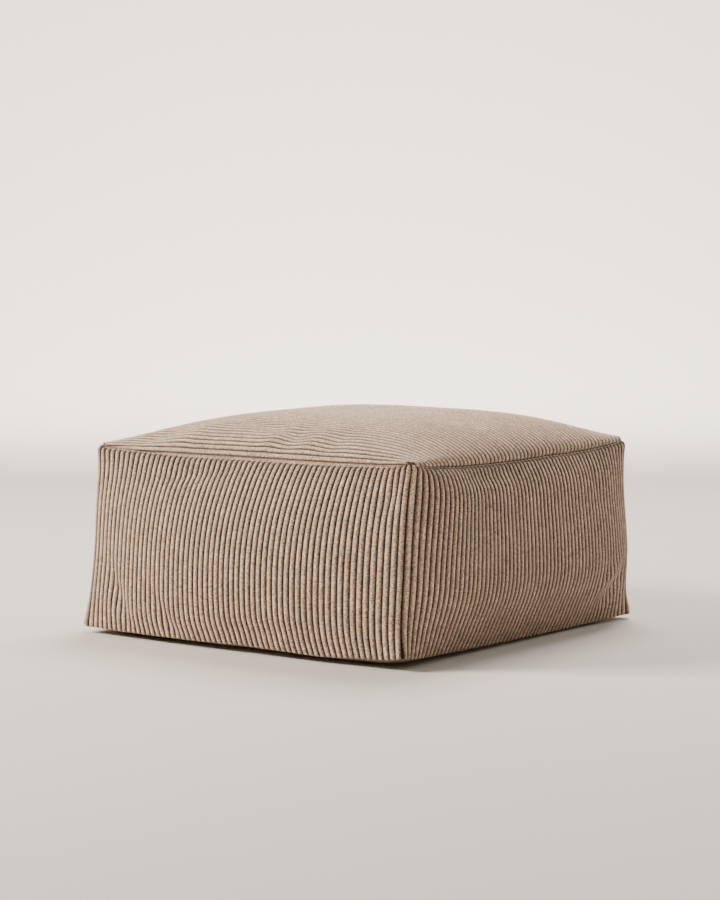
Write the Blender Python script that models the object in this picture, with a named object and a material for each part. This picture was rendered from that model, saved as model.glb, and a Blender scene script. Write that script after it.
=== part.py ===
# Square floor pouf of wide-wale cloth, resting on its base panel.
# Metres, +Z up, origin on the floor under the middle of the pouf.
# The near side faces -Y and the right side faces +X.
# filled_body is the filled form with its four sewn side panels.
# top_panel and base_panel are sheets sewn to it.

import math

import bmesh
import bpy
from mathutils import Vector

# Cut panels and their cloth
HALF_SIDE = 0.296  # from the middle to a top corner, along X or Y
WALES_PER_PANEL = 60
WALE_HEIGHT = 0.0030  # from the valley between two wales to a crest
CORNER_GROOVE = 0.0030  # how far the stitched corner seam sinks between its wales
TOP_SHEET = 0.0030  # wale cloth without its wales, with the seam allowance folded under
BASE_SHEET = 0.0020
SEWING_GAP = 0.0004  # between a sheet and the body under it

# Heights over the floor
TOP_CORNER_HEIGHT = {"near_left": 0.290, "near_right": 0.294, "far_right": 0.288, "far_left": 0.288}
TOP_SEAM_SAG = {"near": 0.0065, "right": 0.0115, "far": 0.009, "left": 0.008}  # at mid side
BASE_CORNER_HEIGHT = {"near_left": 0.009, "near_right": 0.014, "far_right": 0.006, "far_left": 0.010}
BASE_SEAM_SAG = {"near": 0.001, "right": 0.005, "far": 0.001, "left": 0.001}
SIDE_HEIGHT = 0.28  # between the seams of a side panel, about
CROWN_RISE = 0.0465
# 2 is a round dome, more gives a flatter top with a steeper edge on that side
CROWN_POWER = {"near": 3.6, "right": 4.2, "far": 3.6, "left": 3.0}
BASE_ROLL = 0.034  # width of the strip in which the base panel rolls up to its seam

# How the filling pushes each side out past the line between its corners, in millimetres, by share of height
SIDE_ORDER = ("near", "right", "far", "left")
BULGE_ROWS = (
    # up,  near, right, far, left
    (0.00, 8.0, -12.0, -4.0, 0.0),
    (0.12, 27.0, 8.0, 14.0, 18.0),
    (0.30, 38.0, 27.0, 31.0, 31.0),
    (0.50, 41.0, 29.0, 35.0, 34.0),
    (0.70, 33.0, 26.0, 30.0, 29.0),
    (0.88, 15.0, 18.0, 16.0, 15.0),
    (1.00, -7.0, -4.0, -5.0, -5.0),
)
# More gives a flatter side with rounder ends
BULGE_POWER = {"near": 2.4, "right": 4.4, "far": 3.0, "left": 2.8}

# How far each upright corner seam stands from its straight line, in millimetres, by share of height
CORNER_ORDER = ("near_left", "near_right", "far_right", "far_left")
CORNER_SIGNS = ((-1, -1), (1, -1), (1, 1), (-1, 1))
CORNER_ROWS = (
    # up, near_left x, y, near_right x, y, far_right x, y, far_left x, y
    (0.00, -10.0, -20.0, -8.0, -10.0, 1.0, 6.5, -6.0, 8.0),
    (0.15, -12.0, -9.5, -13.0, -5.0, -1.5, 2.5, -4.0, 4.0),
    (0.40, -6.0, -4.0, -8.0, -7.0, 1.0, 0.0, -3.0, 3.0),
    (0.70, 0.0, -4.0, -6.0, -3.0, -6.0, 0.0, 1.0, -1.0),
    (0.88, -1.5, 2.0, -8.0, 8.0, -6.0, -8.5, 7.0, -6.0),
    (1.00, -2.0, -1.0, 2.0, 1.0, 1.0, -3.5, 1.0, -1.0),
)

# Soft troughs (minus) and ridges (plus) where the cover is slack
CREASES = (
    # panel, across, up, long, wide, turn from the across direction, depth
    ("near", 0.13, 0.20, 0.050, 0.014, -62, -0.0055),
    ("near", 0.30, 0.11, 0.040, 0.012, -60, -0.0040),
    ("near", 0.34, 0.90, 0.070, 0.012, 8, -0.0035),
    ("near", 0.62, 0.10, 0.090, 0.014, 4, -0.0030),
    ("near", 0.96, 0.84, 0.030, 0.014, 60, -0.0050),
    ("right", 0.90, 0.20, 0.040, 0.014, 35, -0.0060),
    ("right", 0.86, 0.28, 0.045, 0.012, 35, 0.0045),
    ("right", 0.11, 0.84, 0.070, 0.075, 0, 0.0080),
    ("right", 0.94, 0.80, 0.040, 0.016, -40, -0.0050),
    ("right", 0.30, 0.93, 0.080, 0.012, 0, -0.0030),
    ("far", 0.25, 0.80, 0.080, 0.018, 20, -0.0045),
    ("far", 0.72, 0.20, 0.060, 0.016, -50, -0.0050),
    ("left", 0.30, 0.18, 0.050, 0.016, 60, -0.0050),
    ("left", 0.78, 0.84, 0.060, 0.014, -25, -0.0045),
    ("top", 0.17, 0.08, 0.045, 0.026, 60, -0.0050),
    ("top", 0.28, 0.09, 0.055, 0.013, 75, 0.0040),
    ("top", 0.36, 0.20, 0.060, 0.013, -35, -0.0040),
    ("top", 0.52, 0.13, 0.070, 0.014, -25, -0.0035),
    ("top", 0.88, 0.86, 0.050, 0.014, 40, -0.0040),
)
CREASE_FADE = 0.06  # creases die out within this share of a panel from its seams

# Where the solids have their rows and columns of points
SIDE_ROWS = (0.0, 0.05, 0.21, 0.40, 0.60, 0.79, 0.95, 1.0)
HALF_STATIONS = (0.21, 0.41, 0.61, 0.78, 0.91, 0.97, 1.0)
SHEET_STATIONS = tuple(-place for place in reversed(HALF_STATIONS)) + (0.0,) + HALF_STATIONS
COVER_STATIONS = SHEET_STATIONS[1:-1]
NORMAL_STEP = 0.004  # share of a panel, for the slope of its surface
MIDDLE = (-0.0055, -0.0051)  # middle of the pouf's outline, from the middle between its top corners

MILLIMETRE = 0.001
SEAM_SAG_POWER = 3
SAG_REACH_POWER = 8  # more keeps the sag of a top seam closer to its edge
ROLL_POWER = 2
ROLL_BLEND_POWER = 4  # more makes the base's corners follow the nearer seam


def readRows(rows, up, column):
    """A smooth curve through one column of a table whose first column runs from 0 to 1."""
    spans = len(rows) - 1
    i = min(sum(1 for row in rows[1:-1] if up >= row[0]), spans - 1)
    low, high = rows[i], rows[i + 1]
    width = high[0] - low[0]
    before, after = rows[max(i - 1, 0)], rows[min(i + 2, spans)]
    lowSlope = (high[column] - before[column]) / (high[0] - before[0])
    highSlope = (after[column] - low[column]) / (after[0] - low[0])
    k = (up - low[0]) / width
    ease = k * k * (3 - 2 * k)
    curve = low[column] * (1 - ease) + high[column] * ease
    curve += lowSlope * width * k * (1 - k) ** 2
    curve -= highSlope * width * k * k * (1 - k)
    return curve


def cornerAt(index, up):
    """Plan position of an upright corner seam."""
    signX, signY = CORNER_SIGNS[index]
    x = signX * HALF_SIDE + MILLIMETRE * readRows(CORNER_ROWS, up, 1 + 2 * index)
    y = signY * HALF_SIDE + MILLIMETRE * readRows(CORNER_ROWS, up, 2 + 2 * index)
    return Vector((x, y))


def sideInPlan(side, across, up):
    """Plan position on a side panel, across from its left end to its right end seen from outside."""
    name = SIDE_ORDER[side]
    left = cornerAt(side, up)
    right = cornerAt((side + 1) % 4, up)
    run = (right - left).normalized()
    outward = Vector((run.y, -run.x))
    span = abs(2 * across - 1)
    bow = MILLIMETRE * readRows(BULGE_ROWS, up, 1 + side) * (1 - span ** BULGE_POWER[name])
    return left.lerp(right, across) + outward * bow


def seamHeight(side, across, corners, sags):
    """Height along a seam, which hangs a little between its two corners."""
    left = corners[CORNER_ORDER[side]]
    right = corners[CORNER_ORDER[(side + 1) % 4]]
    span = abs(2 * across - 1)
    return left + (right - left) * across - sags[SIDE_ORDER[side]] * (1 - span**SEAM_SAG_POWER)


def topSeamHeight(side, across):
    return seamHeight(side, across, TOP_CORNER_HEIGHT, TOP_SEAM_SAG)


def baseSeamHeight(side, across):
    return seamHeight(side, across, BASE_CORNER_HEIGHT, BASE_SEAM_SAG)


def creaseDepth(panel, across, up, width, height):
    """Sum of a panel's troughs and ridges at a point, fading out at its seams."""
    depth = 0.0
    for name, middle, level, length, reach, turn, deep in CREASES:
        if name != panel:
            continue
        dx = (across - middle) * width
        dy = (up - level) * height
        cos, sin = math.cos(math.radians(turn)), math.sin(math.radians(turn))
        along = (dx * cos + dy * sin) / length
        aside = (dy * cos - dx * sin) / reach
        depth += deep * math.exp(-along * along - aside * aside)
    edge = min(across, 1 - across, up, 1 - up) / CREASE_FADE
    return depth * min(max(edge, 0.0), 1.0)


def smoothSide(side, across, up):
    plan = sideInPlan(side, across, up)
    bottom = baseSeamHeight(side, across) + BASE_SHEET + SEWING_GAP
    top = topSeamHeight(side, across) - TOP_SHEET - SEWING_GAP
    return Vector((plan.x, plan.y, bottom + (top - bottom) * up))


def sideNormal(side, across, up):
    left, right = max(across - NORMAL_STEP, 0.0), min(across + NORMAL_STEP, 1.0)
    low, high = max(up - NORMAL_STEP, 0.0), min(up + NORMAL_STEP, 1.0)
    run = smoothSide(side, right, up) - smoothSide(side, left, up)
    rise = smoothSide(side, across, high) - smoothSide(side, across, low)
    return run.cross(rise).normalized()


def sidePoint(side, column, up):
    """A point on the waled side. Even columns are valleys, odd ones crests, column 0 the corner seam."""
    columns = 2 * WALES_PER_PANEL
    across = column / columns
    point = smoothSide(side, across, up)
    if up in (0.0, 1.0):
        return point
    if column == 0:
        inward = Vector((-point.x, -point.y, 0.0)).normalized()
        return point + inward * CORNER_GROOVE
    name = SIDE_ORDER[side]
    lift = creaseDepth(name, across, up, 2 * HALF_SIDE, SIDE_HEIGHT)
    lift += WALE_HEIGHT if column % 2 else 0.0
    return point + sideNormal(side, across, up) * lift


def patchInPlan(s, t, up):
    """Plan position inside the four seams at one level. s and t run from -1 to 1 along X and Y."""
    a, b = (s + 1) / 2, (t + 1) / 2
    near, far = sideInPlan(0, a, up), sideInPlan(2, 1 - a, up)
    right, left = sideInPlan(1, b, up), sideInPlan(3, 1 - b, up)
    corners = [cornerAt(i, up) for i in range(4)]
    edges = near.lerp(far, b) + left.lerp(right, a)
    return edges - corners[0].lerp(corners[1], a).lerp(corners[3].lerp(corners[2], a), b)


def crownHeight(s, t):
    """Height of the top panel's upper face, without its wales."""
    a, b = (s + 1) / 2, (t + 1) / 2
    heights = [TOP_CORNER_HEIGHT[name] for name in CORNER_ORDER]
    nearEdge = heights[0] + (heights[1] - heights[0]) * a
    farEdge = heights[3] + (heights[2] - heights[3]) * a
    plane = nearEdge + (farEdge - nearEdge) * b
    sag = 0.0
    for side, edge, across in ((0, -t, a), (1, s, b), (2, t, 1 - a), (3, -s, 1 - b)):
        if edge > 0:
            span = abs(2 * across - 1)
            sag += TOP_SEAM_SAG[SIDE_ORDER[side]] * (1 - span**SEAM_SAG_POWER) * edge**SAG_REACH_POWER
    acrossPower = CROWN_POWER["right" if s > 0 else "left"]
    backPower = CROWN_POWER["far" if t > 0 else "near"]
    rise = CROWN_RISE * (1 - abs(s) ** acrossPower) * (1 - abs(t) ** backPower)
    return plane - sag + rise + creaseDepth("top", a, b, 2 * HALF_SIDE, 2 * HALF_SIDE)


def baseHeight(s, t):
    """Height of the base panel's lower face: flat on the floor, rolled up to its seam at the rim."""
    a, b = (s + 1) / 2, (t + 1) / 2
    height = weights = 0.0
    flat = 1.0
    for side, edge, across in ((0, -t, a), (1, s, b), (2, t, 1 - a), (3, -s, 1 - b)):
        roll = max(0.0, 1 - (1 - edge) * HALF_SIDE / BASE_ROLL) ** ROLL_POWER
        flat *= 1 - roll
        height += baseSeamHeight(side, across) * roll**ROLL_BLEND_POWER
        weights += roll**ROLL_BLEND_POWER
    return (1 - flat) * height / weights if weights else 0.0


def sheetPoint(s, t, drop, level, heightAt):
    plan = patchInPlan(s, t, level)
    return Vector((plan.x, plan.y, heightAt(s, t) - drop))


def addLine(bm, points):
    return [bm.verts.new(point) for point in points]


def fillBetween(bm, first, second):
    """Quads between two lines of as many points."""
    for i in range(len(first) - 1):
        bm.faces.new((first[i], first[i + 1], second[i + 1], second[i]))


def zipLines(bm, first, firstAt, second, secondAt):
    """Triangles between two lines of unlike counts, taking whichever line lags behind."""
    i = j = 0
    while i < len(first) - 1 or j < len(second) - 1:
        firstNext = firstAt[i + 1] if i < len(first) - 1 else math.inf
        secondNext = secondAt[j + 1] if j < len(second) - 1 else math.inf
        if firstNext <= secondNext:
            bm.faces.new((first[i], first[i + 1], second[j]))
            i += 1
        else:
            bm.faces.new((first[i], second[j + 1], second[j]))
            j += 1


def evenly(count):
    return [2 * i / count - 1 for i in range(count + 1)]


def gridBorder(grid):
    """The four border lines of a grid, each from its left end to its right end seen from outside."""
    return (
        list(grid[0]),
        [row[-1] for row in grid],
        list(reversed(grid[-1])),
        [row[0] for row in reversed(grid)],
    )


def edgePoints(side, places):
    """Where along the border of the s, t square a side's places lie."""
    return [((p, -1.0), (1.0, p), (-p, 1.0), (-1.0, -p))[side] for p in places]


def fillGrid(bm, grid):
    for first, second in zip(grid, grid[1:]):
        fillBetween(bm, first, second)


def makeRim(bm, level, drop, heightAt):
    """A sheet's closed rim along the four seams, as one line for each side."""
    ring = []
    for side in range(4):
        places = edgePoints(side, SHEET_STATIONS[:-1])
        ring += addLine(bm, [sheetPoint(s, t, drop, level, heightAt) for s, t in places])
    ring.append(ring[0])
    spans = len(SHEET_STATIONS) - 1
    return [ring[side * spans : (side + 1) * spans + 1] for side in range(4)]


def makeCover(bm, seams, seamPlaces, level, drop, heightAt):
    """The face inside four seam lines: a grid, joined to the seams by a narrow strip of triangles."""
    grid = [
        addLine(bm, [sheetPoint(s, t, drop, level, heightAt) for s in COVER_STATIONS])
        for t in COVER_STATIONS
    ]
    fillGrid(bm, grid)
    for seam, border in zip(seams, gridBorder(grid)):
        zipLines(bm, seam, seamPlaces, border, COVER_STATIONS)


def finish(bm, name, material):
    bmesh.ops.recalc_face_normals(bm, faces=bm.faces)
    bmesh.ops.translate(bm, verts=bm.verts, vec=(-MIDDLE[0], -MIDDLE[1], 0.0))
    mesh = bpy.data.meshes.new(name)
    bm.to_mesh(mesh)
    bm.free()
    mesh.materials.append(material)
    bpy.context.scene.collection.objects.link(bpy.data.objects.new(name, mesh))


def clothMaterial(name, colour, roughness):
    material = bpy.data.materials.new(name)
    material.use_nodes = True
    shader = material.node_tree.nodes["Principled BSDF"]
    shader.inputs["Base Color"].default_value = (*colour, 1.0)
    shader.inputs["Roughness"].default_value = roughness
    shader.inputs["Metallic"].default_value = 0.0
    return material


def makeBody(material):
    """The filled form: four waled sides, a crowned top and a flat-bottomed underside."""
    bm = bmesh.new()
    columns = 2 * WALES_PER_PANEL
    rings = []
    for up in SIDE_ROWS:
        rings.append(addLine(bm, [sidePoint(side, i, up) for side in range(4) for i in range(columns)]))
    for low, high in zip(rings, rings[1:]):
        fillBetween(bm, low + low[:1], high + high[:1])
    closed = {0.0: rings[0] + rings[0][:1], 1.0: rings[-1] + rings[-1][:1]}
    for level, drop, heightAt in (
        (0.0, -(BASE_SHEET + SEWING_GAP), baseHeight),
        (1.0, TOP_SHEET + SEWING_GAP, crownHeight),
    ):
        seams = [closed[level][side * columns : (side + 1) * columns + 1] for side in range(4)]
        makeCover(bm, seams, evenly(columns), level, drop, heightAt)
    finish(bm, "filled_body", material)


def makeTopPanel(material):
    """A sheet over the crown, with wales along X."""
    bm = bmesh.new()
    lines = 2 * WALES_PER_PANEL
    upper = []
    for i, t in enumerate(evenly(lines)):
        wale = WALE_HEIGHT if i % 2 else 0.0
        row = []
        for s in SHEET_STATIONS:
            lift = 0.0 if abs(s) == 1.0 else wale
            row.append(sheetPoint(s, t, -lift, 1.0, crownHeight))
        upper.append(addLine(bm, row))
    fillGrid(bm, upper)
    seams = makeRim(bm, 1.0, TOP_SHEET, crownHeight)
    makeCover(bm, seams, SHEET_STATIONS, 1.0, TOP_SHEET, crownHeight)
    for side, above in enumerate(gridBorder(upper)):
        places = evenly(lines) if side % 2 else SHEET_STATIONS
        zipLines(bm, above, places, seams[side], SHEET_STATIONS)
    finish(bm, "top_panel", material)


def makeBasePanel(material):
    """A plain sheet under the body, flat where it meets the floor."""
    bm = bmesh.new()
    faces = []
    for drop in (0.0, -BASE_SHEET):
        seams = makeRim(bm, 0.0, drop, baseHeight)
        makeCover(bm, seams, SHEET_STATIONS, 0.0, drop, baseHeight)
        faces.append(seams)
    for below, above in zip(*faces):
        fillBetween(bm, below, above)
    finish(bm, "base_panel", material)


def main():
    for obj in list(bpy.data.objects):
        bpy.data.objects.remove(obj, do_unlink=True)
    waleCloth = clothMaterial("wale_cloth", (0.47, 0.375, 0.29), 0.9)
    baseCloth = clothMaterial("base_cloth", (0.24, 0.18, 0.135), 0.95)
    makeBody(waleCloth)
    makeTopPanel(waleCloth)
    makeBasePanel(baseCloth)


main()
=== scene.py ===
# Square corduroy floor pouf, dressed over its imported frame.
# Each panel is laid out by how far it runs across and up, so that its wales follow it round.
import math
import bpy
import numpy as np
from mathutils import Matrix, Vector


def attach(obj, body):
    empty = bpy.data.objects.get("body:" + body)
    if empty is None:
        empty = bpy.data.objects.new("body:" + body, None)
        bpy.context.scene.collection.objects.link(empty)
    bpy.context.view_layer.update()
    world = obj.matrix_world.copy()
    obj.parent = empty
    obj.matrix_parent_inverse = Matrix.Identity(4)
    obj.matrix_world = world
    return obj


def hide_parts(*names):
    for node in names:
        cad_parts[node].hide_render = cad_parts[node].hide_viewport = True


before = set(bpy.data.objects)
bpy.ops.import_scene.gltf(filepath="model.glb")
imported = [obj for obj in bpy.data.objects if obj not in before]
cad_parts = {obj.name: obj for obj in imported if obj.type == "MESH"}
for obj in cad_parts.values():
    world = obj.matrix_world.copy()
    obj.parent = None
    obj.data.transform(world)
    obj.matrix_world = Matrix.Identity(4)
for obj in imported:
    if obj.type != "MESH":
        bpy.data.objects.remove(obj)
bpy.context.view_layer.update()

mm = 0.001
sideNames = ("near", "right", "far", "left")  # near faces -Y, right faces +X
cornerNames = ("nearLeft", "nearRight", "farRight", "farLeft")
cornerSigns = ((-1, -1), (1, -1), (1, 1), (-1, 1))

# The filled form, in metres
pouf = {
    "halfSide": 0.296,  # from the middle to a top corner, along X or Y
    "middle": (-0.0055, -0.0051),  # middle of the outline, which stands over the origin
    "topCorners": {"nearLeft": 0.290, "nearRight": 0.294, "farRight": 0.288, "farLeft": 0.288},
    "topSag": {"near": 0.0065, "right": 0.0115, "far": 0.009, "left": 0.008},
    "baseCorners": {"nearLeft": 0.009, "nearRight": 0.014, "farRight": 0.006, "farLeft": 0.010},
    "baseSag": {"near": 0.001, "right": 0.005, "far": 0.001, "left": 0.001},
    "sagPower": 3,  # more is flatter in the middle of a seam
    "sagReach": 8,  # more keeps a sag closer to its seam
    "cornerBlend": 0.0005,  # where two seams meet, the nearer one leads
    "leastWeight": 1e-9,  # so that nothing is divided by zero
    "crownRise": 0.0465,
    "crownPower": {"near": 3.6, "right": 4.2, "far": 3.6, "left": 3.0},
    "baseRoll": 0.055,  # the base panel lifts to its seams over this far
    "leastRoll": 1e-12,  # the same for the base panel
    "wales": 60,
    "baseSteps": 96,
}

# How far the filling pushes each side out, in millimetres by share of height
bulgeRows = (
    # up, near, right, far, left
    (0.00, 8.0, -12.0, -4.0, 0.0),
    (0.12, 27.0, 8.0, 14.0, 18.0),
    (0.30, 38.0, 27.0, 31.0, 31.0),
    (0.50, 41.0, 29.0, 35.0, 34.0),
    (0.70, 33.0, 26.0, 30.0, 29.0),
    (0.88, 15.0, 18.0, 16.0, 15.0),
    (1.00, -7.0, -4.0, -5.0, -5.0),
)
bulgePower = {"near": 2.4, "right": 4.4, "far": 3.0, "left": 2.8}  # more is flatter with rounder ends

# How far each upright corner seam stands from its straight line, in millimetres
cornerRows = (
    # up, nearLeft x, y, nearRight x, y, farRight x, y, farLeft x, y
    (0.00, -10.0, -20.0, -8.0, -10.0, 1.0, 6.5, -6.0, 8.0),
    (0.15, -12.0, -9.5, -13.0, -5.0, -1.5, 2.5, -4.0, 4.0),
    (0.40, -6.0, -4.0, -8.0, -7.0, 1.0, 0.0, -3.0, 3.0),
    (0.70, 0.0, -4.0, -6.0, -3.0, -6.0, 0.0, 1.0, -1.0),
    (0.88, -1.5, 2.0, -8.0, 8.0, -2.6, -6.0, 7.0, -6.0),
    (1.00, -2.0, -1.0, 2.0, 1.0, 1.0, -3.5, 1.0, -1.0),
)

# Soft troughs (minus) and ridges (plus), in shares of a panel, metres and degrees
creases = (
    # panel, across, up, long, wide, turn, depth
    ("near", 0.13, 0.20, 0.050, 0.014, -62, -0.0055),
    ("near", 0.30, 0.11, 0.040, 0.012, -60, -0.0040),
    ("near", 0.34, 0.90, 0.070, 0.012, 8, -0.0035),
    ("near", 0.62, 0.10, 0.090, 0.014, 4, -0.0030),
    ("near", 0.96, 0.84, 0.030, 0.014, 60, -0.0050),
    ("right", 0.90, 0.20, 0.040, 0.014, 35, -0.0060),
    ("right", 0.86, 0.28, 0.045, 0.012, 35, 0.0045),
    ("right", 0.11, 0.84, 0.070, 0.075, 0, 0.0080),
    ("right", 0.80, 0.80, 0.040, 0.012, -65, -0.0014),
    ("right", 0.30, 0.93, 0.080, 0.012, 0, -0.0030),
    ("far", 0.25, 0.80, 0.080, 0.018, 20, -0.0045),
    ("far", 0.72, 0.20, 0.060, 0.016, -50, -0.0050),
    ("left", 0.30, 0.18, 0.050, 0.016, 60, -0.0050),
    ("left", 0.78, 0.84, 0.060, 0.014, -25, -0.0045),
    ("top", 0.17, 0.08, 0.045, 0.026, 60, -0.0045),
    ("top", 0.28, 0.09, 0.060, 0.020, 75, 0.0022),
    ("top", 0.36, 0.20, 0.060, 0.013, -35, -0.0040),
    ("top", 0.52, 0.13, 0.070, 0.014, -25, -0.0035),
    ("top", 0.53, 0.09, 0.050, 0.016, 98, 0.0030),
    ("top", 0.585, 0.08, 0.045, 0.015, 98, -0.0018),
    ("top", 0.645, 0.08, 0.040, 0.015, 95, 0.0024),
    ("top", 0.715, 0.08, 0.040, 0.017, 95, -0.0028),
    ("top", 0.88, 0.86, 0.050, 0.014, 40, -0.0040),
)
creaseFade = 0.05

# Where a seam rises or dips for a short way, in shares of a side and metres
seamWaves = (
    # seam, side, across, reach, rise
    ("top", "near", 1.00, 0.050, 0.0036),
    ("top", "near", 0.00, 0.022, 0.0040),
    ("top", "left", 1.00, 0.022, 0.0040),
    ("top", "right", 1.00, 0.030, 0.0020),
    ("top", "far", 0.00, 0.030, 0.0020),
    ("top", "far", 1.00, 0.030, 0.0015),
    ("top", "left", 0.00, 0.030, 0.0015),
    ("top", "near", 0.30, 0.10, -0.0010),
    ("top", "right", 0.00, 0.035, 0.0036),
    ("top", "right", 0.62, 0.08, 0.0012),
    ("base", "near", 0.76, 0.10, -0.0030),
    ("base", "near", 0.52, 0.06, 0.0012),
    ("base", "near", 1.00, 0.03, 0.0035),
    ("base", "right", 0.00, 0.03, 0.0035),
)

# What the sewing does to the cloth
sewing = {
    "ditch": 0.0010,  # how far a top or base seam is pulled in
    "ditchReach": 0.0024,
    "groove": 0.0048,  # upright corner seams
    "grooveReach": 0.0036,
    "cornerRound": 0.0020,  # upright corners are rounded off by this much
    "cornerReach": 0.020,
    "tuck": 0.0080,  # top corners curl in by this much more
    "tuckAlong": 0.016,
    "tuckDown": 0.0052,
    "ear": 0.0080,  # base corners stand out
    "earUp": 0.030,
    "baseLift": 0.001,  # the base seam runs this much higher than its corners say
    "seamDrop": 0.0014,  # the top seam under the crown's edge
    "rimOut": 0.0002,  # the crown's edge rolls out over its seam
    "rimLength": 0.0042,
    "rimCorner": 0.012,  # its wales flatten this near a corner
    "rimFlat": 0.75,
    "allowance": 0.006,  # turned in behind each seam
}

# How wales fade out towards the seams, with painted shade that darkens them there and a painted highlight
# on the turned edge, distances in metres
seams = {
    "sideFade": 0.0038,
    "sideEndFade": 0.0010,
    "topFade": 0.0042,
    "topEndFade": 0.0011,
    "cornerShade": 0.90,
    "cornerReach": 0.0040,
    "endShade": 0.14,
    "endReach": 0.0009,
    "upperShade": 0.20,
    "tipReach": 0.018,
    "topEndShade": 0.30,
    "topReach": 0.0012,
    "baseRun": 0.0032,  # wales run this much further before they round off at the base
    "bandLight": 0.45,  # the turned edge under the top seam catches the light
    "bandDown": 0.0012,
    "bandReach": 0.0008,
}

# Painted highlight on one flank of each wale and painted shade on the other: how much lighter it is, and
# where it is across the wale
flankLight = {"near": (0.24, 0.27), "right": (0.36, 0.73), "far": (0.12, 0.73), "left": (0.12, 0.27)}

# Points across one wale, closer in the valleys, and along it, closer at its ends
waleSteps = (0.0, 0.06, 0.13, 0.23, 0.36, 0.5, 0.64, 0.77, 0.87, 0.94)
endSteps = (0.0, 0.6, 1.3, 2.1, 3.0, 4.0, 5.1, 6.4, 8.0, 10.0)  # millimetres from a seam
alongStep = {"side": 0.0030, "top": 0.0043}


def tableCurve(rows, up, column):
    table = np.array(rows)
    knots, values = table[:, 0], table[:, column]
    slopes = np.empty_like(values)
    slopes[1:-1] = (values[2:] - values[:-2]) / (knots[2:] - knots[:-2])
    slopes[0] = (values[1] - values[0]) / (knots[1] - knots[0])
    slopes[-1] = (values[-1] - values[-2]) / (knots[-1] - knots[-2])
    i = np.clip(np.searchsorted(knots, up, side="right") - 1, 0, len(knots) - 2)
    width = knots[i + 1] - knots[i]
    k = (up - knots[i]) / width
    ease = k * k * (3 - 2 * k)
    curve = values[i] * (1 - ease) + values[i + 1] * ease
    return curve + width * (slopes[i] * k * (1 - k) ** 2 - slopes[i + 1] * k * k * (1 - k))


def cornerPlan(index, up):
    signX, signY = cornerSigns[index]
    x = signX * pouf["halfSide"] + mm * tableCurve(cornerRows, up, 1 + 2 * index)
    y = signY * pouf["halfSide"] + mm * tableCurve(cornerRows, up, 2 + 2 * index)
    return np.stack([x, y], axis=-1)


def lerp(a, b, k):
    return a + (b - a) * np.asarray(k)[..., None]


def lerpHeight(left, right, across):
    return left + (right - left) * across


def seamHeight(seam, side, across):
    corners, sags = pouf[f"{seam}Corners"], pouf[f"{seam}Sag"]
    left = corners[cornerNames[side]]
    right = corners[cornerNames[(side + 1) % 4]]
    hang = 1 - np.abs(2 * across - 1) ** pouf["sagPower"]
    height = lerpHeight(left, right, across) - sags[sideNames[side]] * hang
    for name, onSide, middle, reach, rise in seamWaves:
        if name == seam and onSide == sideNames[side]:
            height = height + rise * np.exp(-(((across - middle) / reach) ** 2))
    return height


def sidePlan(side, across, up):
    # across from the left end to the right end, seen from outside
    left, right = cornerPlan(side, up), cornerPlan((side + 1) % 4, up)
    run = right - left
    length = np.linalg.norm(run, axis=-1, keepdims=True)
    outward = np.stack([run[..., 1], -run[..., 0]], axis=-1) / length
    bow = 1 - np.abs(2 * across - 1) ** bulgePower[sideNames[side]]
    bow = bow * mm * tableCurve(bulgeRows, up, 1 + side)
    plan = lerp(left, right, across) + outward * bow[..., None]

    # towards the middle, square to the side, and along the diagonal at its corners
    leftIn = -np.array(cornerSigns[side], dtype=float)
    rightIn = -np.array(cornerSigns[(side + 1) % 4], dtype=float)
    fromLeft = across * 2 * pouf["halfSide"]
    fromRight = (1 - across) * 2 * pouf["halfSide"]
    leftShare = np.exp(-(fromLeft / sewing["tuckAlong"]) ** 2)[..., None]
    rightShare = np.exp(-(fromRight / sewing["tuckAlong"]) ** 2)[..., None]
    inward = -outward * (1 - leftShare - rightShare) + leftIn * leftShare + rightIn * rightShare

    height = pouf["topCorners"]["nearLeft"]
    fromTop, fromBase = (1 - up) * height, up * height
    ditch = np.exp(-(fromTop / sewing["ditchReach"]) ** 2)
    ditch = ditch + np.exp(-(fromBase / sewing["ditchReach"]) ** 2)
    tuck = (leftShare + rightShare)[..., 0] * np.exp(-(fromTop / sewing["tuckDown"]) ** 2)
    plan = plan + inward * (sewing["ditch"] * ditch + sewing["tuck"] * tuck)[..., None]
    for distance, diagonal in ((fromLeft, leftIn), (fromRight, rightIn)):
        pull = sewing["groove"] * np.exp(-(distance / sewing["grooveReach"]) ** 2)
        ear = sewing["ear"] * np.exp(-(fromBase / sewing["earUp"]) ** 2)
        nearby = np.maximum(1 - distance / sewing["cornerReach"], 0) ** 2
        pull = pull + (sewing["cornerRound"] - ear) * nearby
        plan = plan + diagonal * (pull / math.sqrt(2))[..., None]
    return plan


def creaseDepth(panel, across, up, width, height):
    depth = np.zeros_like(across)
    for name, middle, level, length, reach, turn, deep in creases:
        if name != panel:
            continue
        dx, dy = (across - middle) * width, (up - level) * height
        cos, sin = math.cos(math.radians(turn)), math.sin(math.radians(turn))
        along = (dx * cos + dy * sin) / length
        aside = (dy * cos - dx * sin) / reach
        depth = depth + deep * np.exp(-along * along - aside * aside)
    edge = np.minimum(np.minimum(across, 1 - across), np.minimum(up, 1 - up)) / creaseFade
    return depth * np.clip(edge, 0, 1)


def surfaceNormals(points):
    run = np.gradient(points, axis=1)
    rise = np.gradient(points, axis=0)
    normal = np.cross(run, rise)
    return normal / np.linalg.norm(normal, axis=-1, keepdims=True)


def waleStations(count):
    steps = [(wale + step) / count for wale in range(count) for step in waleSteps]
    return np.array(steps + [1.0])


def endStations(length, step):
    ends = [mm * e for e in endSteps]
    middle = np.linspace(ends[-1], length - ends[-1], round((length - 2 * ends[-1]) / step) + 1)
    return np.concatenate([ends[:-1], middle, [length - e for e in reversed(ends[:-1])]]) / length


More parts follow.
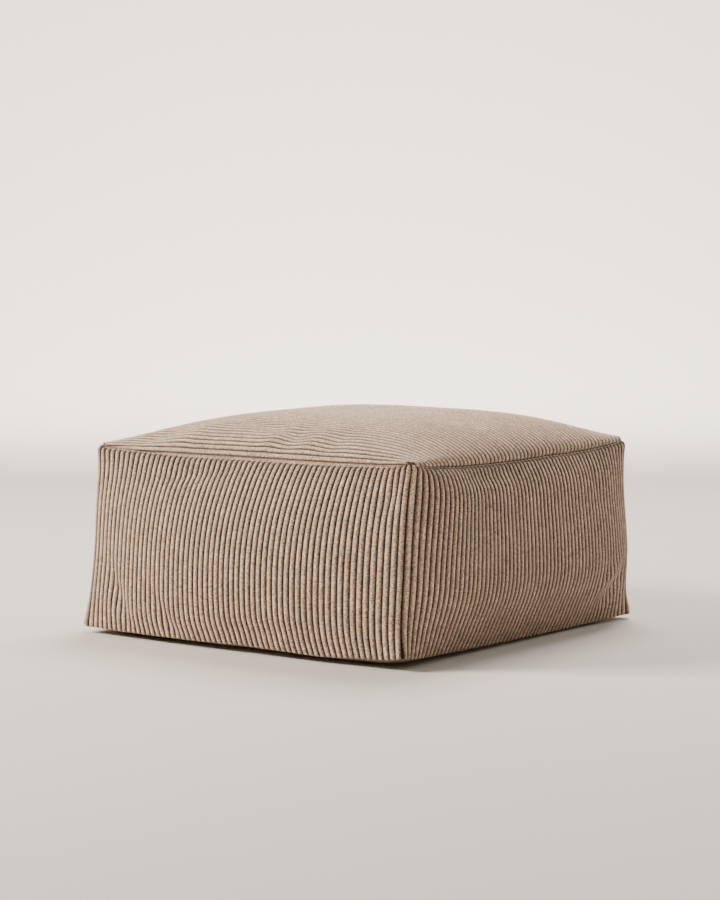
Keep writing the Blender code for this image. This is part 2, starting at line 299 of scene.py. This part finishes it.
def gridMesh(name, points, wale, fromEnd, sewn, light, panelMap):
    rows, columns = wale.shape
    index = np.arange(rows * columns).reshape(rows, columns)
    corners = (index[:-1, :-1], index[:-1, 1:], index[1:, 1:], index[1:, :-1])
    faces = np.stack([c.ravel() for c in corners], axis=-1)
    mesh = bpy.data.meshes.new(name)
    mesh.from_pydata(points.reshape(-1, 3).tolist(), [], faces.tolist())
    for key, values in (("waleAt", wale), ("fromEnd", fromEnd), ("sewn", sewn), ("light", light)):
        layer = mesh.attributes.new(key, "FLOAT", "POINT")
        layer.data.foreach_set("value", values.astype(np.float32).ravel())
    uvLayer = mesh.uv_layers.new(name="panelMap")
    uvLayer.data.foreach_set("uv", panelMap.reshape(-1, 2)[faces.ravel()].astype(np.float32).ravel())
    mesh.polygons.foreach_set("use_smooth", [True] * len(faces))
    mesh.update()
    piece = bpy.data.objects.new(name, mesh)
    bpy.context.scene.collection.objects.link(piece)
    return piece


def toFrame(points):
    return points - np.array([*pouf["middle"], 0.0])


def sideSurface(side, across, up):
    plan = sidePlan(side, across, up)
    bottom = seamHeight("base", side, across) + sewing["baseLift"]
    top = seamHeight("top", side, across) - sewing["seamDrop"]
    return np.concatenate([plan, (bottom + (top - bottom) * up)[..., None]], axis=-1)


def makeSide(side):
    name = sideNames[side]
    height = pouf["topCorners"]["nearLeft"] - pouf["baseCorners"]["nearLeft"]
    columns = waleStations(pouf["wales"])
    rows = endStations(height, alongStep["side"])
    across, up = np.meshgrid(columns, rows)
    points = sideSurface(side, across, up)
    dent = creaseDepth(name, across, up, 2 * pouf["halfSide"], height)
    points = points + surfaceNormals(points) * dent[..., None]

    # the seam allowance, turned in behind both seams
    turned = points[[0, -1]]
    away = np.linalg.norm(turned[..., :2], axis=-1, keepdims=True)
    turned[..., :2] *= 1 - sewing["allowance"] / away
    points = np.concatenate([turned[:1], points, turned[1:]])
    across, up = np.pad(across, ((1, 1), (0, 0)), "edge"), np.pad(up, ((1, 1), (0, 0)), "edge")
    wale = across * pouf["wales"]
    fromTop, fromBase = (1 - up) * height, up * height
    fromSeam = np.minimum(fromTop, fromBase)
    fromEnd = np.minimum(fromTop, fromBase + seams["baseRun"])
    aside = np.minimum(across, 1 - across) * 2 * pouf["halfSide"]
    sewn = np.clip(np.minimum(fromSeam / seams["sideEndFade"], aside / seams["sideFade"]), 0, 1)
    # painted shade in the groove of each upright corner seam
    light = 1 - seams["cornerShade"] * np.exp(-((aside / seams["cornerReach"]) ** 2))
    # painted shade in the ditch along the top and base seams
    light = light - seams["endShade"] * np.exp(-((fromSeam / seams["endReach"]) ** 2))
    # painted shade over the upper wale tips, under the top seam
    light = light * (1 - seams["upperShade"] * np.exp(-((fromTop / seams["tipReach"]) ** 2)))
    # painted highlight on the turned edge under the top seam
    band = np.exp(-(((fromTop - seams["bandDown"]) / seams["bandReach"]) ** 2))
    # painted highlight on one flank of each wale, painted shade on the other
    flankLit, flank = flankLight[name]
    light = light * (1 + seams["bandLight"] * band + flankLit * np.cos(2 * np.pi * (wale - flank)))
    panelMap = np.stack([wale, up * height * pouf["wales"] / (2 * pouf["halfSide"])], axis=-1)
    return gridMesh(f"sidePanel.{name}", toFrame(points), wale, fromEnd, sewn, light, panelMap)


def coonsPlan(a, b, boundary):
    # a and b from 0 to 1 along X and Y, boundary(side, across) gives a seam's plan
    near, far = boundary(0, a), boundary(2, 1 - a)
    right, left = boundary(1, b), boundary(3, 1 - b)
    corners = [boundary(i, np.zeros(1))[0] for i in range(4)]
    edges = lerp(near, far, b) + lerp(left, right, a)
    nearLine, farLine = lerp(corners[0], corners[1], a), lerp(corners[3], corners[2], a)
    return edges - lerp(nearLine, farLine, b)


def fourEdges(a, b):
    # for each side, how near its seam is from -1 to 1, and the share across it
    s, t = 2 * a - 1, 2 * b - 1
    return ((0, -t, a), (1, s, b), (2, t, 1 - a), (3, -s, 1 - b))


def crownHeight(a, b):
    heights = [pouf["topCorners"][name] for name in cornerNames]
    nearEdge, farEdge = lerpHeight(heights[0], heights[1], a), lerpHeight(heights[3], heights[2], a)
    hanging, weights = np.zeros_like(a), np.zeros_like(a)
    for side, edge, across in fourEdges(a, b):
        straight = lerpHeight(heights[side], heights[(side + 1) % 4], across)
        share = np.maximum(edge, 0) ** pouf["sagReach"]
        weight = share / (1 + pouf["cornerBlend"] - edge)
        hanging = hanging + (seamHeight("top", side, across) - straight) * share * weight
        weights = weights + weight
    height = lerpHeight(nearEdge, farEdge, b) + hanging / np.maximum(weights, pouf["leastWeight"])
    power = pouf["crownPower"]
    s, t = 2 * a - 1, 2 * b - 1
    acrossX = np.abs(s) ** np.where(s > 0, power["right"], power["left"])
    acrossY = np.abs(t) ** np.where(t > 0, power["far"], power["near"])
    return height + pouf["crownRise"] * (1 - acrossX) * (1 - acrossY)


# The top panel isn't cut quite along its wales
topCut = {"firstWale": 0.55, "skew": 1.3, "skewPower": 1.5, "skewFrom": 0.28, "skewWales": 6.0}


def makeTop():
    side = 2 * pouf["halfSide"]
    rows = waleStations(pouf["wales"])
    columns = endStations(side, alongStep["top"])
    a, b = np.meshgrid(columns, rows)
    plan = coonsPlan(a, b, lambda i, at: sidePlan(i, at, np.ones_like(at)))
    height = crownHeight(a, b)

    # the rim rounds over and down to its seam
    drop = np.zeros_like(a)
    for share, outward in ((b, (0, -1)), (1 - a, (1, 0)), (1 - b, (0, 1)), (a, (-1, 0))):
        along = np.clip(share * side / sewing["rimLength"], 0, 1)
        out = sewing["rimOut"] * np.sin(np.pi * along)
        plan = plan + np.array(outward) * out[..., None]
        drop = np.maximum(drop, sewing["seamDrop"] * (1 - np.sqrt(1 - (1 - along) ** 2)))
    height = height - drop
    points = np.concatenate([plan, height[..., None]], axis=-1)
    dent = creaseDepth("top", a, b, side, side)
    points = points + surfaceNormals(points) * dent[..., None]
    wale = topCut["firstWale"] + b * (pouf["wales"] - 2 * topCut["firstWale"])
    skew = np.clip((topCut["skewFrom"] - a) / topCut["skewFrom"], 0, 1) ** topCut["skewPower"]
    wale = wale + topCut["skew"] * skew * np.exp(-b * pouf["wales"] / topCut["skewWales"])
    fromEnd, aside = np.minimum(a, 1 - a) * side, np.minimum(b, 1 - b) * side
    sewn = np.clip(np.minimum(fromEnd / seams["topEndFade"], aside / seams["topFade"]), 0, 1)
    corner = np.exp(-(fromEnd**2 + aside**2) / sewing["rimCorner"] ** 2)
    sewn = sewn * (1 - sewing["rimFlat"] * corner)
    # painted shade where the top's wales end at the seams
    light = 1 - seams["topEndShade"] * np.exp(-((fromEnd / seams["topReach"]) ** 2))
    panelMap = np.stack([wale, a * pouf["wales"]], axis=-1)
    return gridMesh("topPanel", toFrame(points), wale, fromEnd, sewn, light, panelMap)


# flat on the floor in the middle, and curled up to its seams
def makeBase():
    line = np.linspace(0, 1, pouf["baseSteps"] + 1)
    a, b = np.meshgrid(line, line)
    plan = coonsPlan(a, b, lambda i, at: sidePlan(i, at, np.zeros_like(at)))
    height, weights, flat = np.zeros_like(a), np.zeros_like(a), np.ones_like(a)
    for side, edge, across in fourEdges(a, b):
        roll = np.maximum(0.0, 1 - (1 - edge) * pouf["halfSide"] / pouf["baseRoll"]) ** 2
        flat = flat * (1 - roll)
        height = height + (seamHeight("base", side, across) + sewing["baseLift"]) * roll**4
        weights = weights + roll**4
    height = (1 - flat) * height / np.maximum(weights, pouf["leastRoll"])
    points = np.concatenate([plan, height[..., None]], axis=-1)[:, ::-1]
    a, b = a[:, ::-1], b[:, ::-1]
    panelMap = np.stack([a, b], axis=-1) * pouf["wales"]
    return gridMesh("basePanel", toFrame(points), a * 0, a * 0, a * 0, a * 0, panelMap)


# Node helpers
def addNode(tree, kind, inputs=None, **settings):
    node = tree.nodes.new(kind)
    for name, value in settings.items():
        setattr(node, name, value)
    for key, value in (inputs or {}).items():
        if isinstance(value, bpy.types.NodeSocket):
            tree.links.new(value, node.inputs[key])
        else:
            node.inputs[key].default_value = value
    return node


def maths(tree, operation, *values, clamp=False):
    node = addNode(tree, "ShaderNodeMath", dict(enumerate(values)), operation=operation, use_clamp=clamp)
    return node.outputs[0]


def addSocket(tree, name, kind, value=None, output=False):
    socket = tree.interface.new_socket(name, in_out="OUTPUT" if output else "INPUT", socket_type=kind)
    if value is not None:
        socket.default_value = value
    return socket


def attribute(tree, name):
    node = addNode(tree, "GeometryNodeInputNamedAttribute", {"Name": name}, data_type="FLOAT")
    return node.outputs["Attribute"]


# Round wales raised along the panel, with rounded ends at its seams
waleRelief = {
    "Wale Height": 0.0036,
    "Roundness": 0.62,
    "Squareness": 2.3,
    "Bare Edge": 0.0005,
    "Edge Roll": 0.0017,
    "Roll Start": 0.0002,
    "Roll Soft": 0.0007,
    "Tip Length": 0.0040,
    "Tip Bow": 0.0022,
    "Tip Shade": 0.25,
    "Unevenness": 0.10,
    "Swell Scale": 55.0,
    "Nap Height": 0.0003,
    "Nap Scale": 420.0,
    "Nap Detail": 3.0,
    "Seed": 3.0,
}
bareEdges = {"near": 0.0022, "right": 0.0024, "far": 0.0022, "left": 0.0024}
topRelief = {"Wale Height": 0.0031, "Bare Edge": 0.0002, "Tip Length": 0.0024}


def waleTree():
    tree = bpy.data.node_groups.new("raiseWales", "GeometryNodeTree")
    addSocket(tree, "Geometry", "NodeSocketGeometry")
    for name, value in waleRelief.items():
        addSocket(tree, name, "NodeSocketFloat", value)
    addSocket(tree, "Cloth", "NodeSocketMaterial")
    addSocket(tree, "Geometry", "NodeSocketGeometry", output=True)
    given = addNode(tree, "NodeGroupInput").outputs
    place = addNode(tree, "GeometryNodeInputPosition").outputs[0]
    normal = addNode(tree, "GeometryNodeInputNormal").outputs[0]
    waleAt, fromEnd, sewn = (attribute(tree, name) for name in ("waleAt", "fromEnd", "sewn"))

    def noise(scale, detail=2.0):
        node = addNode(
            tree,
            "ShaderNodeTexNoise",
            {"Vector": place, "W": given["Seed"], "Scale": scale, "Detail": detail},
            noise_dimensions="4D",
        )
        return maths(tree, "SUBTRACT", node.outputs[0], 0.5)

    # 0 in the valleys, 1 on the crest
    share = maths(tree, "FRACT", waleAt)
    aside = maths(tree, "ABSOLUTE", maths(tree, "MULTIPLY_ADD", share, 2.0, -1.0))
    rounded = maths(tree, "POWER", aside, given["Squareness"])
    rounded = maths(tree, "SUBTRACT", 1.0, rounded, clamp=True)
    ridge = maths(tree, "POWER", rounded, given["Roundness"])

    # wale ends are round in front and in profile
    bow = maths(tree, "MULTIPLY", maths(tree, "POWER", aside, 2.0), given["Tip Bow"])
    bare = maths(tree, "ADD", bow, given["Bare Edge"])
    tip = maths(tree, "DIVIDE", maths(tree, "SUBTRACT", fromEnd, bare), given["Tip Length"], clamp=True)
    back = maths(tree, "POWER", maths(tree, "SUBTRACT", 1.0, tip), 2.0)
    tip = maths(tree, "SQRT", maths(tree, "SUBTRACT", 1.0, back, clamp=True))
    pile = maths(tree, "MULTIPLY", maths(tree, "MULTIPLY", ridge, tip), sewn)
    # painted shade for the cloth's colour: it falls into the valleys and is lower over the wale ends
    unshaded = maths(tree, "SUBTRACT", 1.0, given["Tip Shade"])
    shade = maths(tree, "MULTIPLY", ridge, maths(tree, "MULTIPLY_ADD", tip, given["Tip Shade"], unshaded))

    # the turned edge between the seam and the wale ends
    rollIn = maths(tree, "SUBTRACT", fromEnd, given["Roll Start"])
    rollIn = maths(tree, "DIVIDE", rollIn, given["Roll Soft"], clamp=True)
    rollOut = maths(tree, "SUBTRACT", given["Bare Edge"], fromEnd)
    rollOut = maths(tree, "DIVIDE", rollOut, given["Roll Soft"], clamp=True)
    roll = maths(tree, "MULTIPLY", rollIn, rollOut)

    swell = maths(tree, "MULTIPLY_ADD", noise(given["Swell Scale"]), given["Unevenness"], 1.0)
    relief = maths(tree, "MULTIPLY", maths(tree, "MULTIPLY", pile, given["Wale Height"]), swell)
    relief = maths(tree, "ADD", relief, maths(tree, "MULTIPLY", roll, given["Edge Roll"]))
    grain = noise(given["Nap Scale"], given["Nap Detail"])
    nap = maths(tree, "MULTIPLY", maths(tree, "MULTIPLY", grain, given["Nap Height"]), pile)
    lift = addNode(tree, "ShaderNodeVectorMath", {0: normal}, operation="SCALE")
    tree.links.new(maths(tree, "ADD", relief, nap), lift.inputs["Scale"])
    # the painted shade is stored for the cloth's colour, lifted to full on the turned edge
    store = addNode(
        tree,
        "GeometryNodeStoreNamedAttribute",
        {"Geometry": given["Geometry"], "Name": "pile", "Value": maths(tree, "MAXIMUM", shade, roll)},
        data_type="FLOAT",
        domain="POINT",
    )
    raised = {"Geometry": store.outputs[0], "Offset": lift.outputs[0]}
    moved = addNode(tree, "GeometryNodeSetPosition", raised)
    real = addNode(tree, "GeometryNodeRealizeInstances", {"Geometry": moved.outputs[0]})
    dressed = addNode(
        tree, "GeometryNodeSetMaterial", {"Geometry": real.outputs[0], "Material": given["Cloth"]}
    )
    addNode(tree, "NodeGroupOutput", {"Geometry": dressed.outputs[0]})
    return tree


def applyTree(piece, tree, values):
    modifier = piece.modifiers.new(tree.name, "NODES")
    modifier.node_group = tree
    for socket in tree.interface.items_tree:
        if socket.in_out == "INPUT" and socket.name in values:
            modifier[socket.identifier] = values[socket.name]
    bpy.context.view_layer.update()
    evaluated = piece.evaluated_get(bpy.context.evaluated_depsgraph_get())
    mesh = bpy.data.meshes.new_from_object(evaluated)
    piece.modifiers.clear()
    piece.data = mesh
    mesh.name = piece.name


# Colours are linear
waleCloth = {
    "crest": (0.65, 0.472, 0.348, 1),
    # flank and valley are darker copies of the crest colour: painted shade down the sides of each wale and
    # in its valleys
    "flank": (0.335, 0.240, 0.177, 1),
    "valley": (0.028, 0.0205, 0.0155, 1),
    "roughness": 0.92,
    "sheen": 0.30,
    "sheenRoughness": 0.45,
    "sheenTint": (1.0, 0.84, 0.72, 1),
    "fuzzScale": 430.0,
    "mottleScale": 26.0,
    "streakScale": 1.6,
    "streakDetail": 5.0,
    "streakStretch": (1.0, 0.35, 1.0),
    "ropePitch": 0.36,  # in wale widths, along a wale
    "ropeSlant": 5.0,
    "ropeWander": 9.0,
    "flankRange": (0.30, 0.82),  # shares of the pile's height
    "crestRange": (0.70, 0.97),
    # how much each mark changes the colour, and what it starts from
    "streak": (0.70, 0.65),
    "mottle": (0.60, 0.70),
    "fuzz": (0.96, 0.52),
    "speck": (-0.85, 1.15),
    "rope": (0.12, 1.0),
    "bump": 0.8,
    "bumpDepth": 0.0018,
    "speckBump": -0.7,
    "ropeBump": 0.15,
}
baseCloth = {
    "colour": (0.27, 0.205, 0.150, 1),
    "dark": (0.19, 0.143, 0.106, 1),
    "roughness": 0.95,
    "threadsPerMetre": 1400.0,
    "fuzzScale": 300.0,
    "mottleScale": 9.0,
    "bump": 0.4,
    "bumpDepth": 0.0004,
}
pileFuzz = {
    "fuzz": {"Detail": 3.0, "Roughness": 0.6},
    "fuzzRange": (0.34, 0.66),
    "mottle": {"Detail": 4.0, "Roughness": 0.65},
    "speckScale": 0.6,  # times the fuzz scale
    "speckEdge": 2.2,
    "speckPower": 3.0,
}
dullSpecular = 0.2


def smoothRange(tree, value, low, high):
    inputs = {"Value": value, "From Min": low, "From Max": high}
    return addNode(tree, "ShaderNodeMapRange", inputs, interpolation_type="SMOOTHSTEP").outputs[0]


def fuzzGroup():
    # fine pile, with every output from 0 to 1
    tree = bpy.data.node_groups.new("pileFuzz", "ShaderNodeTree")
    addSocket(tree, "Vector", "NodeSocketVector")
    addSocket(tree, "Fuzz Scale", "NodeSocketFloat")
    addSocket(tree, "Mottle Scale", "NodeSocketFloat")
    for name in ("Fuzz", "Mottle", "Speck"):
        addSocket(tree, name, "NodeSocketFloat", output=True)
    given = addNode(tree, "NodeGroupInput").outputs
    place = given["Vector"]
    fuzzInputs = {"Vector": place, "Scale": given["Fuzz Scale"], **pileFuzz["fuzz"]}
    fuzz = addNode(tree, "ShaderNodeTexNoise", fuzzInputs)
    mottleInputs = {"Vector": place, "Scale": given["Mottle Scale"], **pileFuzz["mottle"]}
    mottle = addNode(tree, "ShaderNodeTexNoise", mottleInputs)
    speckScale = maths(tree, "MULTIPLY", given["Fuzz Scale"], pileFuzz["speckScale"])
    speck = addNode(tree, "ShaderNodeTexVoronoi", {"Vector": place, "Scale": speckScale})
    speckFar = maths(tree, "MULTIPLY", speck.outputs["Distance"], pileFuzz["speckEdge"])
    speckNear = maths(tree, "SUBTRACT", 1.0, speckFar, clamp=True)
    out = addNode(tree, "NodeGroupOutput")
    tree.links.new(smoothRange(tree, fuzz.outputs[0], *pileFuzz["fuzzRange"]), out.inputs["Fuzz"])
    tree.links.new(mottle.outputs[0], out.inputs["Mottle"])
    tree.links.new(maths(tree, "POWER", speckNear, pileFuzz["speckPower"]), out.inputs["Speck"])
    return tree


def newMaterial(name, roughness):
    material = bpy.data.materials.new(name)
    material.use_nodes = True
    shader = material.node_tree.nodes["Principled BSDF"]
    shader.inputs["Roughness"].default_value = roughness
    shader.inputs["Specular IOR Level"].default_value = dullSpecular
    return material, material.node_tree, shader


def mixColour(tree, factor, first, second, blend="MIX"):
    # a Mix node names its colour sockets as its number sockets, so they go by place
    node = addNode(tree, "ShaderNodeMix", data_type="RGBA", blend_type=blend)
    for socket, value in ((0, factor), (6, first), (7, second)):
        if isinstance(value, bpy.types.NodeSocket):
            tree.links.new(value, node.inputs[socket])
        else:
            node.inputs[socket].default_value = value
    return node.outputs[2]


def waleClothMaterial(fuzz):
    material, tree, shader = newMaterial("waleCloth", waleCloth["roughness"])
    shader.inputs["Sheen Weight"].default_value = waleCloth["sheen"]
    shader.inputs["Sheen Roughness"].default_value = waleCloth["sheenRoughness"]
    shader.inputs["Sheen Tint"].default_value = waleCloth["sheenTint"]
    pile = addNode(tree, "ShaderNodeAttribute", attribute_name="pile").outputs["Fac"]
    place = addNode(tree, "ShaderNodeTexCoord").outputs["Object"]
    nap = addNode(tree, "ShaderNodeGroup", node_tree=fuzz)
    nap.inputs["Fuzz Scale"].default_value = waleCloth["fuzzScale"]
    nap.inputs["Mottle Scale"].default_value = waleCloth["mottleScale"]
    tree.links.new(place, nap.inputs["Vector"])

    # long streaks that run along each wale
    panelMap = addNode(tree, "ShaderNodeUVMap", uv_map="panelMap").outputs[0]
    stretch = {"Vector": panelMap, "Scale": waleCloth["streakStretch"]}
    stretched = addNode(tree, "ShaderNodeMapping", stretch)
    grain = {"Scale": waleCloth["streakScale"], "Detail": waleCloth["streakDetail"]}
    grain["Vector"] = stretched.outputs[0]
    streak = addNode(tree, "ShaderNodeTexNoise", grain).outputs[0]

    # short slanting marks of the weave along each wale
    along = addNode(tree, "ShaderNodeSeparateXYZ", {"Vector": panelMap}).outputs
    wander = maths(tree, "MULTIPLY", nap.outputs["Mottle"], waleCloth["ropeWander"])
    phase = maths(tree, "MULTIPLY_ADD", along["Y"], 2 * math.pi / waleCloth["ropePitch"], wander)
    phase = maths(tree, "MULTIPLY_ADD", along["X"], waleCloth["ropeSlant"], phase)
    rope = maths(tree, "SINE", phase)

    # painted shade: darker down the flanks and into the valleys as the pile gets lower
    low = smoothRange(tree, pile, *waleCloth["flankRange"])
    high = smoothRange(tree, pile, *waleCloth["crestRange"])
    colour = mixColour(tree, low, waleCloth["valley"], waleCloth["flank"])
    colour = mixColour(tree, high, colour, waleCloth["crest"])
    # painted shade and highlights from each panel's light attribute, then the marks of the pile
    tone = addNode(tree, "ShaderNodeAttribute", attribute_name="light").outputs["Fac"]
    marks = {"streak": streak, "rope": rope}
    marks.update({name.lower(): nap.outputs[name] for name in ("Mottle", "Fuzz", "Speck")})
    for name, mark in marks.items():
        tone = maths(tree, "MULTIPLY", tone, maths(tree, "MULTIPLY_ADD", mark, *waleCloth[name]))
    grey = addNode(tree, "ShaderNodeCombineColor", {"Red": tone, "Green": tone, "Blue": tone}).outputs[0]
    colour = mixColour(tree, 1.0, colour, grey, "MULTIPLY")
    tree.links.new(colour, shader.inputs["Base Color"])
    pits = maths(tree, "MULTIPLY", nap.outputs["Speck"], waleCloth["speckBump"])
    height = maths(tree, "ADD", nap.outputs["Fuzz"], pits)
    height = maths(tree, "MULTIPLY_ADD", rope, waleCloth["ropeBump"], height)
    raised = {"Height": height, "Strength": waleCloth["bump"], "Distance": waleCloth["bumpDepth"]}
    bump = addNode(tree, "ShaderNodeBump", raised)
    tree.links.new(bump.outputs[0], shader.inputs["Normal"])
    return material


def baseClothMaterial(fuzz):
    material, tree, shader = newMaterial("baseCloth", baseCloth["roughness"])
    place = addNode(tree, "ShaderNodeTexCoord").outputs["Object"]
    nap = addNode(tree, "ShaderNodeGroup", node_tree=fuzz)
    nap.inputs["Fuzz Scale"].default_value = baseCloth["fuzzScale"]
    nap.inputs["Mottle Scale"].default_value = baseCloth["mottleScale"]
    tree.links.new(place, nap.inputs["Vector"])
    axes = addNode(tree, "ShaderNodeSeparateXYZ", {"Vector": place}).outputs
    pitch = baseCloth["threadsPerMetre"] * math.pi
    warp = maths(tree, "SINE", maths(tree, "MULTIPLY", axes["X"], pitch))
    weft = maths(tree, "SINE", maths(tree, "MULTIPLY", axes["Y"], pitch))
    weave = maths(tree, "MULTIPLY_ADD", maths(tree, "MULTIPLY", warp, weft), 0.5, 0.5)
    worn = maths(tree, "MULTIPLY", maths(tree, "ADD", weave, nap.outputs["Mottle"]), 0.5)
    colour = mixColour(tree, worn, baseCloth["dark"], baseCloth["colour"])
    tree.links.new(colour, shader.inputs["Base Color"])
    height = maths(tree, "ADD", weave, nap.outputs["Fuzz"])
    raised = {"Height": height, "Strength": baseCloth["bump"], "Distance": baseCloth["bumpDepth"]}
    bump = addNode(tree, "ShaderNodeBump", raised)
    tree.links.new(bump.outputs[0], shader.inputs["Normal"])
    return material


# Camera, fitted to the photograph's seams
camera = {
    "azimuth": 36.38,
    "pitch": 5.57,
    "distance": 4.24,
    "lens": 108.6,
    "aside": -0.0096,
    "lookHeight": 0.2761,
    "clipEnd": 100.0,
}
studio = {
    "floorFlat": 3.0,
    "floorReach": 12.0,
    "floorRise": 9.0,
    "floorCurve": 3,  # more keeps it flat for longer
    "rings": 48,
    "spokes": 72,
    "floorColour": (0.72, 0.67, 0.61, 1),
    "floorRoughness": 0.8,
    "worldColour": (1.0, 0.96, 0.90, 1),
    "worldStrength": 0.22,
    "litHeight": 0.15,  # the lamps aim at this height
}
lights = (
    # name, turn from the camera, rise, distance, size, power, colour
    ("key", -84, 32, 5.0, 1.5, 450, (1.0, 0.94, 0.87)),
    ("fill", 124, 20, 5.0, 1.5, 68, (0.76, 0.91, 1.0)),
    ("top", 160, 62, 3.2, 1.6, 140, (1.0, 0.95, 0.90)),
)
backdrop = {
    "size": 3.0,
    "power": 1100,
    "colour": (1.0, 0.95, 0.89),
    "behind": 3.2,
    "high": 3.6,
    "dip": 0.30,
}


def aim(thing, direction):
    thing.rotation_euler = (-direction).to_track_quat("Z", "Y").to_euler()


def makeStudio():
    turn, pitch = math.radians(camera["azimuth"]), math.radians(camera["pitch"])
    right = Vector((math.cos(turn), math.sin(turn), 0))
    ahead = Vector((-math.sin(turn) * math.cos(pitch), math.cos(turn) * math.cos(pitch), -math.sin(pitch)))
    middle = Vector((-pouf["middle"][0], -pouf["middle"][1], 0))
    target = middle + right * camera["aside"] + Vector((0, 0, camera["lookHeight"]))
    eye = bpy.data.objects.new("camera", bpy.data.cameras.new("camera"))
    bpy.context.scene.collection.objects.link(eye)
    eye.location = target - ahead * camera["distance"]
    eye.data.lens = camera["lens"]
    eye.data.clip_end = camera["clipEnd"]
    aim(eye, ahead)
    bpy.context.scene.camera = eye

    # a round floor that rises gently far from the pouf
    flat, reach = studio["floorFlat"], studio["floorReach"]
    radii = [flat + (reach - flat) * i / studio["rings"] for i in range(studio["rings"] + 1)]
    shares = [(radius - flat) / (reach - flat) for radius in radii]
    heights = [studio["floorRise"] * share ** studio["floorCurve"] for share in shares]
    count = studio["spokes"]
    turns = [2 * math.pi * i / count for i in range(count)]
    verts = [(r * math.cos(k), r * math.sin(k), z) for r, z in zip(radii, heights) for k in turns]
    faces = [tuple(range(count))]
    for ring in range(studio["rings"]):
        low, high = ring * count, (ring + 1) * count
        for i in range(count):
            j = (i + 1) % count
            faces.append((low + i, high + i, high + j, low + j))
    mesh = bpy.data.meshes.new("floor")
    mesh.from_pydata(verts, [], faces)
    mesh.polygons.foreach_set("use_smooth", [True] * len(faces))
    floor = bpy.data.objects.new("floor", mesh)
    bpy.context.scene.collection.objects.link(floor)
    material, _, shader = newMaterial("floorPaint", studio["floorRoughness"])
    shader.inputs["Base Color"].default_value = studio["floorColour"]
    mesh.materials.append(material)

    world = bpy.data.worlds.new("studio")
    world.use_nodes = True
    background = world.node_tree.nodes["Background"]
    background.inputs["Color"].default_value = studio["worldColour"]
    background.inputs["Strength"].default_value = studio["worldStrength"]
    bpy.context.scene.world = world

    def addLamp(name, size, power, colour, place, direction):
        lamp = bpy.data.lights.new(name, "AREA")
        lamp.size = size
        lamp.energy = power
        lamp.color = colour
        holder = bpy.data.objects.new(name, lamp)
        bpy.context.scene.collection.objects.link(holder)
        holder.location = place
        aim(holder, direction)

    lit = Vector((0, 0, studio["litHeight"]))
    for name, away, rise, distance, size, power, colour in lights:
        heading, lift = turn + math.radians(away), math.radians(rise)
        level = Vector((math.sin(heading), -math.cos(heading), 0)) * math.cos(lift)
        side = level + Vector((0, 0, math.sin(lift)))
        addLamp(name, size, power, colour, lit + side * distance, -side)

    # a broad lamp for the floor's far rise
    behind = Vector((-math.sin(turn), math.cos(turn), 0))
    place = behind * backdrop["behind"] + Vector((0, 0, backdrop["high"]))
    direction = (behind - Vector((0, 0, backdrop["dip"]))).normalized()
    addLamp("backdrop", backdrop["size"], backdrop["power"], backdrop["colour"], place, direction)


print("pouf: panels")
sides = [makeSide(i) for i in range(4)]
topPanel = makeTop()
basePanel = makeBase()

print("pouf: wales")
fuzz = fuzzGroup()
cloth = waleClothMaterial(fuzz)
tree = waleTree()
for index, piece in enumerate(sides):
    applyTree(piece, tree, {**waleRelief, "Bare Edge": bareEdges[sideNames[index]], "Cloth": cloth})
applyTree(topPanel, tree, {**waleRelief, **topRelief, "Cloth": cloth})
basePanel.data.materials.append(baseClothMaterial(fuzz))

print("pouf: frame")
for piece in sides:
    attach(piece, "root")
    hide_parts("filled_body")
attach(topPanel, "root")
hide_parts("top_panel")
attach(basePanel, "root")
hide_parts("base_panel")

print("pouf: studio")
makeStudio()
